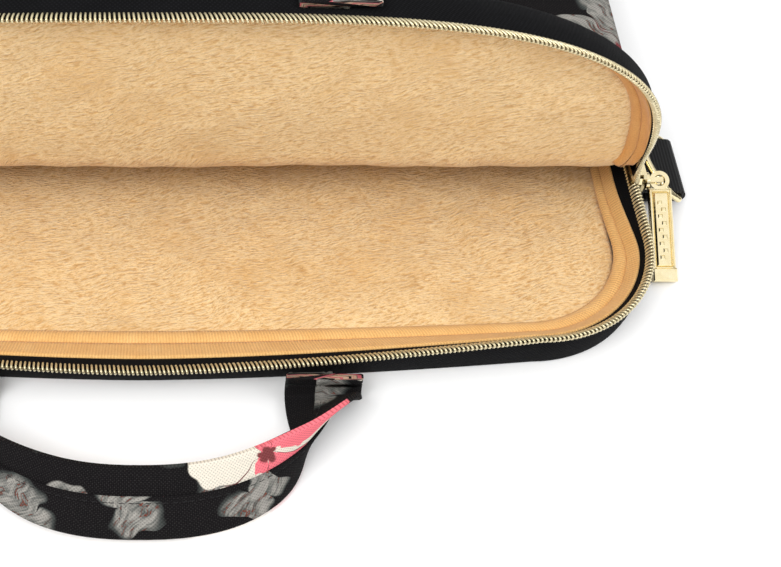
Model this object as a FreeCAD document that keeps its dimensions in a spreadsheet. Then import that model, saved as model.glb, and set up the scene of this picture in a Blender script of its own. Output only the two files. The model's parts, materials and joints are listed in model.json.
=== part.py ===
import FreeCAD, Part
import math
import os
import Sketcher

# Laptop sleeve lying on its back panel, mouth towards -Y, +Z up, millimetres.
# The front panel's mouth zone is a flap, drawn closed and then swung open about the fold line.

V = FreeCAD.Vector
doc = FreeCAD.newDocument("laptop_sleeve")
sheet = doc.addObject("Spreadsheet::Sheet", "sizes")

SIZES = [
    # whole bag
    ("bag_width", 344), ("mouth", -130), ("bottom", 130), ("bag_depth", 36), ("corner_radius", 38),
    # panel layers and side wall layers, from the outside in
    ("canvas", 1), ("foam", 4), ("plush", 2), ("wall_foam", 1.5), ("lining", 1),
    # flap
    ("fold_line", -55), ("open_angle", 88), ("soft_gap", 0.3),
    # zip: the slot it leaves in the wall, its tapes and its two coil halves
    ("zip_low", 13.2), ("zip_middle", 18), ("zip_high", 22.8), ("zip_end", -38.5), ("cover_run", 4),
    ("tape_inset", 0.2), ("tape_gauge", 0.8), ("tape_band", 4.2), ("coil_reach", 1.2), ("coil_band", 3),
    # trims inside the mouth
    ("binding_gauge", 2), ("binding_band", 2.5), ("facing_gauge", 0.8),
    # slider
    ("slider_nose", -56), ("slider_run", 13), ("slider_broad", 8.4), ("slider_tail", 6.4),
    ("plate_gauge", 1.1), ("plate_inner", -2.4), ("plate_outer", 1.5), ("flange", 0.9),
    ("post_run", 3), ("stud_radius", 1), ("stud_run", 1.4),
    # link and pull tag
    ("eyelet_side", 179.8), ("eyelet_back", -54), ("tag_slope", 28), ("eyelet_radius", 3.4),
    ("eyelet_bore", 2), ("tag_broad", 7.6), ("tag_reach", 35.5), ("tag_gauge", 2), ("tag_neck", 2.9),
    ("cap_run", 4.5), ("cap_extra", 0.2), ("link_bar", 0.7), ("link_arm", 1), ("arm_half", 0.9),
    ("link_disc", 3), ("disc_gauge", 1.1), ("disc_reach", 4.9), ("running_gap", 0.05),
    # side tab and D-ring
    ("tab_front", -50), ("tab_broad", 25), ("tab_out", 193.3), ("tab_middle", 5.5), ("tab_gauge", 1.2),
    ("tab_hollow", 3.2), ("tab_root", 6), ("ring_wire", 1.2), ("ring_half", 13.9), ("ring_neck", 2),
    ("ring_lean", 140), ("ring_side", 190.5),
    # handles
    ("strap_broad", 25), ("strap_gauge", 3), ("strap_middle", 61), ("stub_run", 4), ("strap_lift", 0.6),
    ("arch_reach", 45), ("arch_power", 1.1), ("arch_twist", 142), ("handle_fold", 165),
]
for row, (name, value) in enumerate(SIZES, 1):
    sheet.set("A%d" % row, name)
    sheet.set("B%d" % row, str(value))
    sheet.setAlias("B%d" % row, name)
doc.recompute()
size = {name: float(sheet.get(name)) for name, _ in SIZES}

HALF = "sizes.bag_width / 2"
SKIN = "sizes.canvas"
WALL_FOAM = "sizes.canvas + sizes.wall_foam"
WALL = "sizes.canvas + sizes.wall_foam + sizes.lining"
DEPTH = "sizes.bag_depth"
nodes = []


def keep(thing, label):
    thing.Label = label
    nodes.append(thing)
    return thing


# ---- sketches and features ----------------------------------------------------------------
def sketch_on(body, role, height="0"):
    sketch = body.newObject("Sketcher::SketchObject", body.Name + "_outline")
    plane = next(f for f in body.Origin.OriginFeatures if f.Role == role)
    sketch.AttachmentSupport = [(plane, "")]
    sketch.MapMode = "FlatFace"
    sketch.setExpression("AttachmentOffset.Base.z", height)
    return sketch


def tie(sketch, kind, rule, *where):
    index = sketch.addConstraint(Sketcher.Constraint(kind, *where, 1.0))
    title = "size%d" % index
    sketch.renameConstraint(index, title)
    sketch.setExpression("Constraints." + title, rule)


def polygon(sketch, corners):
    """A closed outline whose every corner follows a rule of the sheet."""
    count = len(corners)
    turn = 2 * math.pi / count
    start = [V(10 * math.cos(turn * i), 10 * math.sin(turn * i), 0) for i in range(count)]
    for i in range(count):
        sketch.addGeometry(Part.LineSegment(start[i], start[(i + 1) % count]), False)
    for i in range(count):
        sketch.addConstraint(Sketcher.Constraint("Coincident", i, 2, (i + 1) % count, 1))
    for i, (across, up) in enumerate(corners):
        tie(sketch, "DistanceX", across, -1, 1, i, 1)
        tie(sketch, "DistanceY", up, -1, 1, i, 1)


def rings(sketch, across, up, *radii):
    """One or two circles about the same centre."""
    for i, radius in enumerate(radii):
        sketch.addGeometry(Part.Circle(V(1, 1, 0), V(0, 0, 1), 9.0 - 4 * i), False)
        tie(sketch, "DistanceX", across, -1, 1, i, 3)
        tie(sketch, "DistanceY", up, -1, 1, i, 3)
        tie(sketch, "Radius", radius, i)


def rectangle(x0, x1, y0, y1):
    return [(x0, y0), (x1, y0), (x1, y1), (x0, y1)]


def raise_from(body, sketch, low, high):
    feature = body.newObject("PartDesign::Pad", body.Name + "_pad")
    feature.Profile = sketch
    feature.setExpression("Length", "(%s) - (%s)" % (high, low))
    doc.recompute()
    return feature


def pad(body, corners, low, high, role="XY_Plane"):
    sketch = sketch_on(body, role, low)
    polygon(sketch, corners)
    return raise_from(body, sketch, low, high)


def pad_rings(body, across, up, radii, low, high, role="XY_Plane"):
    sketch = sketch_on(body, role, low)
    rings(sketch, across, up, *radii)
    return raise_from(body, sketch, low, high)


def cut_through(body, corners, role="XY_Plane"):
    sketch = sketch_on(body, role)
    polygon(sketch, corners)
    feature = body.newObject("PartDesign::Pocket", body.Name + "_pocket")
    feature.Profile = sketch
    feature.Midplane = True
    feature.Type = "ThroughAll"
    doc.recompute()
    return feature


def round_edges(body, feature, test, radius, axis=2):
    """Round the straight edges along one axis whose middle passes the test."""
    chosen = []
    for index, edge in enumerate(feature.Shape.Edges, 1):
        straight = edge.Curve.TypeId == "Part::GeomLine"
        if straight and abs(edge.tangentAt(edge.FirstParameter)[axis]) > 0.99:
            if test(edge.CenterOfMass, feature.Shape.BoundBox):
                chosen.append("Edge%d" % index)
    fillet = body.newObject("PartDesign::Fillet", body.Name + "_round")
    fillet.Base = (feature, chosen)
    fillet.setExpression("Radius", radius)
    doc.recompute()
    return fillet


# ---- zones of the bag's plan --------------------------------------------------------------
FRONT_LIMIT = {"rear": "sizes.fold_line"}
BACK_LIMIT = {
    "flap": "sizes.fold_line - sizes.soft_gap",
    "mouth": "sizes.zip_end",
    "lower_zip": "sizes.zip_end - sizes.cover_run",
    "upper_zip": "sizes.slider_nose - 1",
}


def plan(zone, inset):
    front = FRONT_LIMIT.get(zone, "sizes.mouth + (%s)" % inset)
    back = BACK_LIMIT.get(zone, "sizes.bottom - (%s)" % inset)
    return rectangle("-%s + (%s)" % (HALF, inset), "%s - (%s)" % (HALF, inset), front, back)


def plan_corner(zone):
    """True at the corners that a zone shares with the whole bag."""
    def test(point, box):
        if box.XMin + 0.1 < point.x < box.XMax - 0.1:
            return False
        at_front = point.y < box.YMin + 0.1 and zone not in FRONT_LIMIT
        at_back = point.y > box.YMax - 0.1 and zone not in BACK_LIMIT
        return at_front or at_back
    return test


def inner_corner(point, box):
    return box.XMin + 0.1 < point.x < box.XMax - 0.1 and box.YMin + 0.1 < point.y < box.YMax - 0.1


def panel(label, zone, inset, low, high):
    """A flat layer."""
    body = doc.addObject("PartDesign::Body", label)
    feature = pad(body, plan(zone, inset), low, high)
    round_edges(body, feature, plan_corner(zone), "sizes.corner_radius - (%s)" % inset)
    return keep(body, label)


def band(label, zone, outer, inner, low, high, slotted=False):
    """A band that stands on the plan's outline, open where its zone is cut."""
    body = doc.addObject("PartDesign::Body", label)
    pad(body, plan(zone, outer), low, high)
    hollow = plan(zone, inner)
    if zone in FRONT_LIMIT:
        past = FRONT_LIMIT[zone] + " - 20"
        hollow = [(hollow[0][0], past), (hollow[1][0], past)] + hollow[2:]
    if zone in BACK_LIMIT:
        past = BACK_LIMIT[zone] + " + 20"
        hollow = hollow[:2] + [(hollow[2][0], past), (hollow[3][0], past)]
    feature = cut_through(body, hollow)
    feature = round_edges(body, feature, inner_corner, "sizes.corner_radius - (%s)" % inner)
    round_edges(body, feature, plan_corner(zone), "sizes.corner_radius - (%s)" % outer)
    if slotted:
        over = DEPTH + " + 10"
        cut_through(body, [
            ("sizes.mouth - 10", "sizes.zip_low"), ("sizes.zip_end", "sizes.zip_low"),
            ("sizes.zip_end", "sizes.zip_high"), ("sizes.fold_line", "sizes.zip_high"),
            ("sizes.fold_line", over), ("sizes.mouth - 10", over)], "YZ_Plane")
    return keep(body, label)


def swing_open(thing):
    """Turn a flap piece from closed to open about the fold line on the outer face."""
    thing.Placement = FreeCAD.Placement(V(0, 0, 0), FreeCAD.Rotation(V(1, 0, 0), 0))
    c, s = "cos(sizes.open_angle * 1deg)", "sin(sizes.open_angle * 1deg)"
    y, z = "sizes.fold_line", DEPTH
    thing.setExpression("Placement.Rotation.Angle", "-sizes.open_angle")
    thing.setExpression("Placement.Base.y", "%s - (%s * %s + %s * %s)" % (y, y, c, z, s))
    thing.setExpression("Placement.Base.z", "%s - (%s * %s - %s * %s)" % (z, z, c, y, s))


# ---- fixed part of the bag ----------------------------------------------------------------
BACK_FOAM_TOP = "sizes.canvas + sizes.foam"
BACK_PLUSH_TOP = BACK_FOAM_TOP + " + sizes.plush"
FRONT_FOAM_TOP = DEPTH + " - sizes.canvas"
FRONT_FOAM_LOW = FRONT_FOAM_TOP + " - sizes.foam"
FRONT_PLUSH_LOW = FRONT_FOAM_LOW + " - sizes.plush"
BINDING_INNER = WALL + " + sizes.binding_gauge"
FACING_INNER = WALL + " + sizes.facing_gauge"
TAPE_INNER = "sizes.tape_inset + sizes.tape_gauge"
COIL_OUTER = "-sizes.coil_reach"

panel("back_canvas", "whole", "0", "0", SKIN)
panel("back_foam", "whole", WALL, SKIN, BACK_FOAM_TOP)
panel("back_plush", "whole", WALL, BACK_FOAM_TOP, BACK_PLUSH_TOP)
panel("front_canvas", "rear", "0", FRONT_FOAM_TOP, DEPTH)
panel("front_foam", "rear", WALL, FRONT_FOAM_LOW, FRONT_FOAM_TOP)
panel("front_plush", "rear", WALL, FRONT_PLUSH_LOW, FRONT_FOAM_LOW)
band("gusset_canvas", "whole", "0", SKIN, SKIN, FRONT_FOAM_TOP, slotted=True)
band("gusset_foam", "whole", SKIN, WALL_FOAM, SKIN, FRONT_FOAM_TOP, slotted=True)
band("gusset_lining", "whole", WALL_FOAM, WALL, SKIN, FRONT_FOAM_TOP, slotted=True)
LOWER_BINDING_TOP = BACK_PLUSH_TOP + " + sizes.binding_band"
UPPER_BINDING_LOW = FRONT_PLUSH_LOW + " - sizes.binding_band"
band("lower_binding", "whole", WALL, BINDING_INNER, BACK_PLUSH_TOP, LOWER_BINDING_TOP)
band("front_binding", "rear", WALL, BINDING_INNER, UPPER_BINDING_LOW, FRONT_PLUSH_LOW)
band("lower_facing", "mouth", WALL, FACING_INNER, LOWER_BINDING_TOP, "sizes.zip_low")
band("lower_zip_tape", "lower_zip", "sizes.tape_inset", TAPE_INNER,
     "sizes.zip_low", "sizes.zip_low + sizes.tape_band")
band("lower_zip_coil", "lower_zip", COIL_OUTER, "sizes.tape_inset",
     "sizes.zip_middle - sizes.coil_band", "sizes.zip_middle")

# ---- flap ---------------------------------------------------------------------------------
UPPER_COIL_LOW = "sizes.zip_middle + sizes.soft_gap"
flap = [
    panel("flap_canvas", "flap", "0", FRONT_FOAM_TOP, DEPTH),
    panel("flap_foam", "flap", WALL, FRONT_FOAM_LOW, FRONT_FOAM_TOP),
    panel("flap_plush", "flap", WALL, FRONT_PLUSH_LOW, FRONT_FOAM_LOW),
    band("flap_gusset_canvas", "flap", "0", SKIN, "sizes.zip_high", FRONT_FOAM_TOP),
    band("flap_gusset_foam", "flap", SKIN, WALL_FOAM, "sizes.zip_high", FRONT_FOAM_TOP),
    band("flap_gusset_lining", "flap", WALL_FOAM, WALL, "sizes.zip_high", FRONT_FOAM_TOP),
    band("flap_binding", "flap", WALL, BINDING_INNER, UPPER_BINDING_LOW, FRONT_PLUSH_LOW),
    band("flap_facing", "flap", WALL, FACING_INNER, "sizes.zip_high", UPPER_BINDING_LOW),
    band("upper_zip_tape", "upper_zip", "sizes.tape_inset", TAPE_INNER,
         "sizes.zip_high - sizes.tape_band", "sizes.zip_high"),
    band("upper_zip_coil", "upper_zip", COIL_OUTER, "sizes.tape_inset",
         UPPER_COIL_LOW, UPPER_COIL_LOW + " + sizes.coil_band"),
]
for piece in flap:
    swing_open(piece)


# ---- pieces that come in pairs ------------------------------------------------------------
def pair(thing, name):
    """Keep a piece of the right side and its mirror image on the left."""
    keep(thing, name + "_right")
    twin = doc.addObject("Part::Mirroring", name + "_left")
    twin.Source = thing
    twin.Normal = V(1, 0, 0)
    keep(twin, name + "_left")


cover = doc.addObject("PartDesign::Body", "zip_end_cover")
pad(cover, rectangle("%s - (%s)" % (HALF, WALL), HALF, "sizes.zip_end - sizes.cover_run",
                     "sizes.zip_end"), "sizes.zip_low", "sizes.zip_high")
pair(cover, "zip_end_cover")

# Slider: two plates about the chain, joined by a post at the nose, with rims on the outer plate.
TAIL = "sizes.slider_nose + sizes.slider_run"
TAPER = "sizes.slider_nose + sizes.slider_run * 0.45"


def plate_outline(extra):
    """Seen from the side: broad at the nose, narrower at the tail."""
    half, tail = "sizes.slider_broad / 2 - " + extra, "sizes.slider_tail / 2 - " + extra
    middle = "sizes.zip_middle"
    return [("sizes.slider_nose", "%s - (%s) + 1" % (middle, half)),
            ("sizes.slider_nose + 1", "%s - (%s)" % (middle, half)),
            (TAPER, "%s - (%s)" % (middle, half)), (TAIL, "%s - (%s)" % (middle, tail)),
            (TAIL, "%s + (%s)" % (middle, tail)), (TAPER, "%s + (%s)" % (middle, half)),
            ("sizes.slider_nose + 1", "%s + (%s)" % (middle, half)),
            ("sizes.slider_nose", "%s + (%s) - 1" % (middle, half))]


slider = doc.addObject("PartDesign::Body", "slider")
OUTER_FACE = HALF + " + sizes.plate_outer"
INNER_FACE = HALF + " + sizes.plate_inner"
pad(slider, plate_outline("0"), OUTER_FACE, OUTER_FACE + " + sizes.plate_gauge", "YZ_Plane")
pad(slider, plate_outline("0.3"), INNER_FACE, INNER_FACE + " + sizes.plate_gauge", "YZ_Plane")
POST_LOW = "sizes.zip_middle + sizes.soft_gap"
pad(slider, [("sizes.slider_nose", POST_LOW), ("sizes.slider_nose + sizes.post_run", POST_LOW),
             ("sizes.slider_nose + sizes.post_run * 0.6", POST_LOW + " + 2.4"),
             ("sizes.slider_nose + sizes.post_run * 0.2", POST_LOW + " + 2.4")],
    INNER_FACE + " + sizes.plate_gauge / 2", OUTER_FACE + " + sizes.plate_gauge / 2", "YZ_Plane")
for side in ("-", "+"):
    edge = "sizes.zip_middle %s sizes.slider_broad / 2" % side
    lip = "sizes.zip_middle %s (sizes.slider_broad / 2 - sizes.flange)" % side
    pad(slider, rectangle("sizes.slider_nose + 1", TAPER, edge, lip),
        HALF + " + 0.2", OUTER_FACE + " + sizes.plate_gauge / 2", "YZ_Plane")
pad_rings(slider, "sizes.eyelet_back", "sizes.zip_middle", ["sizes.stud_radius"],
          OUTER_FACE + " + sizes.plate_gauge / 2",
          OUTER_FACE + " + sizes.plate_gauge + sizes.stud_run", "YZ_Plane")
pair(slider, "slider")


def tilt(thing):
    thing.Placement = FreeCAD.Placement(V(0, 0, 0), FreeCAD.Rotation(V(1, 0, 0), 1))
    for rule in (("Rotation.Angle", "tag_slope"), ("Base.x", "eyelet_side"),
                 ("Base.y", "eyelet_back"), ("Base.z", "zip_middle")):
        thing.setExpression("Placement." + rule[0], "sizes." + rule[1])


# Link: a disc that turns on the slider's stud, two arms and the bar through the tag's eye.
link = doc.addObject("PartDesign::Body", "pull_link")
DISC_FACE = "sizes.disc_gauge - sizes.disc_reach"
ARM_LOW = "sizes.tag_gauge / 2 + 0.4"
pad_rings(link, "0", "0", ["sizes.link_disc", "sizes.stud_radius + sizes.running_gap"],
          "-sizes.disc_reach", DISC_FACE, "YZ_Plane")
for low, high in ((ARM_LOW, ARM_LOW + " + sizes.link_arm"),
                  ("-(%s + sizes.link_arm)" % ARM_LOW, "-(%s)" % ARM_LOW)):
    pad(link, rectangle(DISC_FACE + " - 0.3", "sizes.arm_half", "-sizes.arm_half", "sizes.arm_half"),
        low, high)
pad_rings(link, "0", "0", ["sizes.link_bar"], "-(%s) - 0.2" % ARM_LOW, ARM_LOW + " + 0.2")
tilt(link)
pair(link, "pull_link")

# Pull tag: eye, blade and a slightly thicker end cap.
tag = doc.addObject("PartDesign::Body", "pull_tag")
pad_rings(tag, "0", "0", ["sizes.eyelet_radius", "sizes.eyelet_bore"],
          "-sizes.tag_gauge / 2", "sizes.tag_gauge / 2")
CAP_TOP = "sizes.cap_run - sizes.tag_reach"
pad(tag, rectangle("-sizes.tag_broad / 2", "sizes.tag_broad / 2", CAP_TOP, "-sizes.tag_neck"),
    "-sizes.tag_gauge / 2", "sizes.tag_gauge / 2")
pad(tag, rectangle("-sizes.tag_broad / 2 - sizes.cap_extra", "sizes.tag_broad / 2 + sizes.cap_extra",
                   "-sizes.tag_reach", CAP_TOP + " + 0.1"),
    "-sizes.tag_gauge / 2 - sizes.cap_extra", "sizes.tag_gauge / 2 + sizes.cap_extra")
tilt(tag)
pair(tag, "pull_tag")

# Side tab: webbing folded round the D-ring's bar, its ends stitched together at the root.
tab = doc.addObject("PartDesign::Body", "side_tab")
TAB_HALF = "sizes.tab_hollow / 2 + sizes.tab_gauge"
feature = pad(tab, rectangle(HALF, "sizes.tab_out", "sizes.tab_front", "sizes.tab_front + sizes.tab_broad"),
              "sizes.tab_middle - (%s)" % TAB_HALF, "sizes.tab_middle + (%s)" % TAB_HALF)
feature = round_edges(tab, feature, lambda p, box: p.x > box.XMax - 0.1,
                      "%s - 0.01" % TAB_HALF, axis=1)
# Looking along the width, the upright plane's own across direction is X and up is Z.
feature = cut_through(tab, rectangle(HALF + " + sizes.tab_root", "sizes.tab_out - sizes.tab_gauge",
                                     "sizes.tab_middle - sizes.tab_hollow / 2",
                                     "sizes.tab_middle + sizes.tab_hollow / 2"), "XZ_Plane")
round_edges(tab, feature, lambda p, box: box.XMax - 1.5 < p.x < box.XMax - 0.5
            and abs(p.z - size["tab_middle"]) < size["tab_hollow"] / 2 + 0.01,
            "sizes.tab_hollow / 2 - 0.01", axis=1)
pair(tab, "side_tab")


# D-ring: a straight bar, two short necks and a half round, all of one wire.
def primitive(kind, title, rules, place):
    thing = doc.addObject("Part::" + kind, title)
    for prop, rule in rules.items():
        thing.setExpression(prop, rule)
    thing.Placement = place
    return thing


along_y = FreeCAD.Rotation(V(1, 0, 0), -90)
along_x = FreeCAD.Rotation(V(0, 1, 0), 90)
wire = {"Radius": "sizes.ring_wire"}
half, neck = size["ring_half"], size["ring_neck"]
bits = [primitive("Cylinder", "ring_bar", dict(wire, Height="sizes.ring_half * 2"),
                  FreeCAD.Placement(V(0, -half, 0), along_y))]
for side in (-1, 1):
    bits.append(primitive("Cylinder", "ring_neck", dict(wire, Height="sizes.ring_neck"),
                          FreeCAD.Placement(V(0, side * half, 0), along_x)))
    bits.append(primitive("Sphere", "ring_corner", wire, FreeCAD.Placement(V(0, side * half, 0), along_y)))
arc = primitive("Torus", "ring_arc", {"Radius1": "sizes.ring_half", "Radius2": "sizes.ring_wire"},
                FreeCAD.Placement(V(neck, 0, 0), FreeCAD.Rotation(V(0, 0, 1), -90)))
arc.Angle3 = 180
ring = doc.addObject("Part::MultiFuse", "d_ring")
ring.Shapes = bits + [arc]
ring.Placement = FreeCAD.Placement(V(0, 0, 0), FreeCAD.Rotation(V(0, 1, 0), -1))
ring.setExpression("Placement.Rotation.Angle", "-sizes.ring_lean")
ring.setExpression("Placement.Base.x", "sizes.ring_side")
ring.setExpression("Placement.Base.y", "sizes.tab_front + sizes.tab_broad / 2")
ring.setExpression("Placement.Base.z", "sizes.tab_middle")
pair(ring, "d_ring")


# ---- handles ------------------------------------------------------------------------------
def stub(label, low):
    """The strap's end where it comes out of the mouth seam."""
    body = doc.addObject("PartDesign::Body", label)
    pad(body, rectangle("sizes.strap_middle - sizes.strap_broad / 2",
                        "sizes.strap_middle + sizes.strap_broad / 2",
                        "sizes.mouth - sizes.stub_run", "sizes.mouth"), low, low + " + sizes.strap_gauge")
    return body


def strap_arch(label, up):
    """A strap that leaves flat, turns over onto its edge and arches to the other end.

    It starts at the hinge line y = 0 with the face nearest the bag's outside at z = 0; up is +1
    when it rises from that level's underside and -1 when it goes the other way.
    """
    sections = []
    steps = 48
    for i in range(steps + 1):
        turn = math.pi * i / steps
        side, reach = math.cos(turn), math.sin(turn)
        x = size["strap_middle"] * math.copysign(abs(side) ** size["arch_power"], side)
        y = -size["soft_gap"] - size["arch_reach"] * reach ** size["arch_power"]
        near_end = min(i, steps - i) / steps
        blend = min(max((near_end - 0.02) / 0.26, 0), 1)
        roll = math.radians(size["arch_twist"]) * blend * blend * (3 - 2 * blend)
        lift = size["strap_broad"] / 2 * math.sin(roll)
        lift += size["strap_gauge"] / 2 * (abs(math.cos(roll)) - 2)
        sections.append((V(x, y, lift), roll))
    wires = []
    for i, (centre, roll) in enumerate(sections):
        if i in (0, steps):
            ahead = V(0, -1, 0) if i == 0 else V(0, 1, 0)
        else:
            ahead = sections[i + 1][0] - sections[i - 1][0]
        ahead = V(ahead.x, ahead.y, 0).normalize()
        outward = V(-ahead.y, ahead.x, 0)
        broad = outward * math.cos(roll) + V(0, 0, 1) * math.sin(roll)
        thick = V(0, 0, 1) * math.cos(roll) - outward * math.sin(roll)
        a, b = size["strap_broad"] / 2, size["strap_gauge"] / 2
        corners = [centre + broad * (p * a) + thick * (q * b)
                   for p, q in ((-1, -1), (1, -1), (1, 1), (-1, 1))]
        corners = [V(c.x, c.y, up * c.z) if up > 0 else V(c.x, c.y, -c.z - size["strap_gauge"])
                   for c in corners]
        wires.append(Part.makePolygon(corners + [corners[0]]))
    arch = doc.addObject("Part::Feature", label)
    arch.Shape = Part.makeLoft(wires, True, False)
    return keep(arch, label)


HINGE_Y = size["mouth"] - size["stub_run"]
pair(stub("back_handle_end", "sizes.strap_lift"), "back_handle_end")
back_handle = strap_arch("back_handle", 1)
back_handle.Placement = FreeCAD.Placement(
    V(0, HINGE_Y, size["strap_lift"] + size["strap_gauge"]), FreeCAD.Rotation())

front_end = stub("front_handle_end", DEPTH + " - sizes.strap_gauge")
swing_open(front_end)
pair(front_end, "front_handle_end")
front_handle = strap_arch("front_handle", -1)
closed = FreeCAD.Placement(V(0, HINGE_Y, size["bag_depth"]),
                           FreeCAD.Rotation(V(1, 0, 0), -size["handle_fold"]))
doc.recompute()
front_handle.Placement = flap[0].Placement.multiply(closed)

# ---- check and write ----------------------------------------------------------------------
doc.recompute()
os.makedirs("parts", exist_ok=True)
for thing in doc.Objects:
    if "Invalid" in thing.State or "Error" in thing.State:
        raise RuntimeError("%s is %s" % (thing.Name, thing.State))
for thing in nodes:
    if thing.Shape.isNull() or not thing.Shape.isValid():
        raise RuntimeError("%s has a bad shape" % thing.Label)
    thing.Shape.exportStep("parts/%s.step" % thing.Label)
    box = thing.Shape.BoundBox
    print("%-24s %d solid  %7.1f %7.1f  %7.1f %7.1f  %7.1f %7.1f" % (
        thing.Label, len(thing.Shape.Solids), box.XMin, box.XMax, box.YMin, box.YMax, box.ZMin, box.ZMax))
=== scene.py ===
import json
import math

import bpy
import numpy as np
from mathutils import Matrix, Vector


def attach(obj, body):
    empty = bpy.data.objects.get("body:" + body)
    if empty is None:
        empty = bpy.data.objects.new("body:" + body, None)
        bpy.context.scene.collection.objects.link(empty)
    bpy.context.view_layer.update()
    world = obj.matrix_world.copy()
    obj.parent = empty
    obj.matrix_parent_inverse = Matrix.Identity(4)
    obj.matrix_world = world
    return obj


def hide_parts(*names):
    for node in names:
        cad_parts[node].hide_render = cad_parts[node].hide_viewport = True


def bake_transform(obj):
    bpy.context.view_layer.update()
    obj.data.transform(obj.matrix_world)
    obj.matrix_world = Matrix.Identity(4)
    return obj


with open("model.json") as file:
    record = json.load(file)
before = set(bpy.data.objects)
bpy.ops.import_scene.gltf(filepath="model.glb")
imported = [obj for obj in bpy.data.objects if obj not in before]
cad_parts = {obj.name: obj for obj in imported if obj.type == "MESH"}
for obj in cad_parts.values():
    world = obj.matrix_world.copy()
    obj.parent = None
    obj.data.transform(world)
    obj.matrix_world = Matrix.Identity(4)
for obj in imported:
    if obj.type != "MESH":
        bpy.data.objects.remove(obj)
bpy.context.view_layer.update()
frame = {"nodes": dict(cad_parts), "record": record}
MM = 0.001

# Sizes in millimetres, in the frame of the CAD: +X across, the mouth towards -Y, +Z up.
FOLD = -55.0              # where the flap bends up
SLOT_END = -38.5          # where the zip's slot stops
TOP = 36.0                # outer face of the front panel
HALF, REAR = 172.0, 130.0
CORNER = 38.0             # radius of the rear corners
OPEN = math.radians(88)   # how far the flap stands open at rest
LIFT = 30.0               # height about which the flap's outline is drawn
CANVAS, FOAM = 1.6, 5.0   # depths at which the panel's canvas and its padding end


# ---- shader helper ------------------------------------------------------------------------
class Paint:
    """Builds one node material around a Principled shader."""

    def __init__(self, name):
        self.material = bpy.data.materials.new(name)
        self.material.use_nodes = True
        self.tree = self.material.node_tree
        self.tree.nodes.clear()
        self.out = self.tree.nodes.new("ShaderNodeOutputMaterial")
        self.shader = self.tree.nodes.new("ShaderNodeBsdfPrincipled")
        self.tree.links.new(self.shader.outputs[0], self.out.inputs[0])

    def put(self, socket, value):
        if isinstance(value, bpy.types.NodeSocket):
            self.tree.links.new(value, socket)
        elif value is not None:
            slots = socket.default_value
            if hasattr(slots, "__len__") and len(value) == 3 and len(slots) == 4:
                value = (*value, 1)
            socket.default_value = value

    def node(self, kind, inputs=(), **settings):
        made = self.tree.nodes.new("ShaderNode" + kind)
        for key, value in settings.items():
            setattr(made, key, value)
        for key, value in dict(inputs).items():
            self.put(made.inputs[key], value)
        return made

    def math(self, kind, a, b=None, c=None):
        made = self.node("Math", operation=kind)
        for i, value in enumerate((a, b, c)):
            if value is not None:
                self.put(made.inputs[i], value)
        return made.outputs[0]

    def vector(self, kind, a, b=None, scale=None):
        made = self.node("VectorMath", operation=kind)
        self.put(made.inputs[0], a)
        if b is not None:
            self.put(made.inputs[1], b)
        if scale is not None:
            self.put(made.inputs["Scale"], scale)
        return made.outputs[0]

    def uv(self, stretch=(1, 1, 1)):
        """The cloth's own coordinates, in millimetres divided by the stretch."""
        coords = self.node("TexCoord").outputs["UV"]
        return self.vector("MULTIPLY", coords, tuple(1000 / s for s in stretch))

    def place(self, stretch=(1, 1, 1)):
        coords = self.node("TexCoord").outputs["Object"]
        return self.vector("MULTIPLY", coords, tuple(1000 / s for s in stretch))

    def noise(self, vector, scale=1.0, detail=2.0, rough=0.5, warp=0.0):
        made = self.node("TexNoise", {"Vector": vector, "Scale": scale, "Detail": detail,
                                      "Roughness": rough, "Distortion": warp})
        return made.outputs["Fac"]

    def mix(self, factor, a, b):
        made = self.node("Mix", data_type="RGBA")
        self.put(made.inputs["Factor"], factor)
        self.put(made.inputs["A"], a)
        self.put(made.inputs["B"], b)
        return made.outputs["Result"]

    def step(self, value, low, high):
        """0 below low, 1 above high."""
        made = self.node("MapRange", {"Value": value, "From Min": low, "From Max": high}, clamp=True)
        return made.outputs[0]

    def bump(self, height, depth):
        return self.node("Bump", {"Height": height, "Distance": depth * MM, "Strength": 1.0}).outputs[0]

    def finish(self, colour, rough, normal=None, metal=0.0, sheen=0.0, specular=0.5):
        for key, value in (("Base Color", colour), ("Roughness", rough), ("Normal", normal),
                           ("Metallic", metal), ("Sheen Weight", sheen),
                           ("Specular IOR Level", specular)):
            if value is not None:
                self.put(self.shader.inputs[key], value)
        return self.material


def rgb(text):
    """Linear colour of a web colour."""
    parts = [int(text[i:i + 2], 16) / 255 for i in (0, 2, 4)]
    return tuple(c / 12.92 if c < 0.04045 else ((c + 0.055) / 1.055) ** 2.4 for c in parts)


def weave(p, pitch, depth):
    """Plain weave: threads pass over and under one another in turn, none quite alike."""
    wander = p.node("TexNoise", {"Vector": p.uv(), "Scale": 0.5, "Detail": 1.0}).outputs["Color"]
    cloth = p.vector("ADD", p.uv(), p.vector("SCALE", wander, scale=0.35 * pitch))
    parts = p.node("SeparateXYZ", {"Vector": p.vector("SCALE", cloth, scale=math.pi / pitch)})
    over = p.math("MULTIPLY", p.math("SINE", parts.outputs[0]), p.math("SINE", parts.outputs[1]))
    uneven = p.noise(cloth, 0.8 / pitch, 3)
    height = p.math("MULTIPLY", p.math("MULTIPLY_ADD", over, 0.5, 0.5), p.math("ADD", uneven, 0.5))
    return height, p.bump(height, depth)


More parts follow.
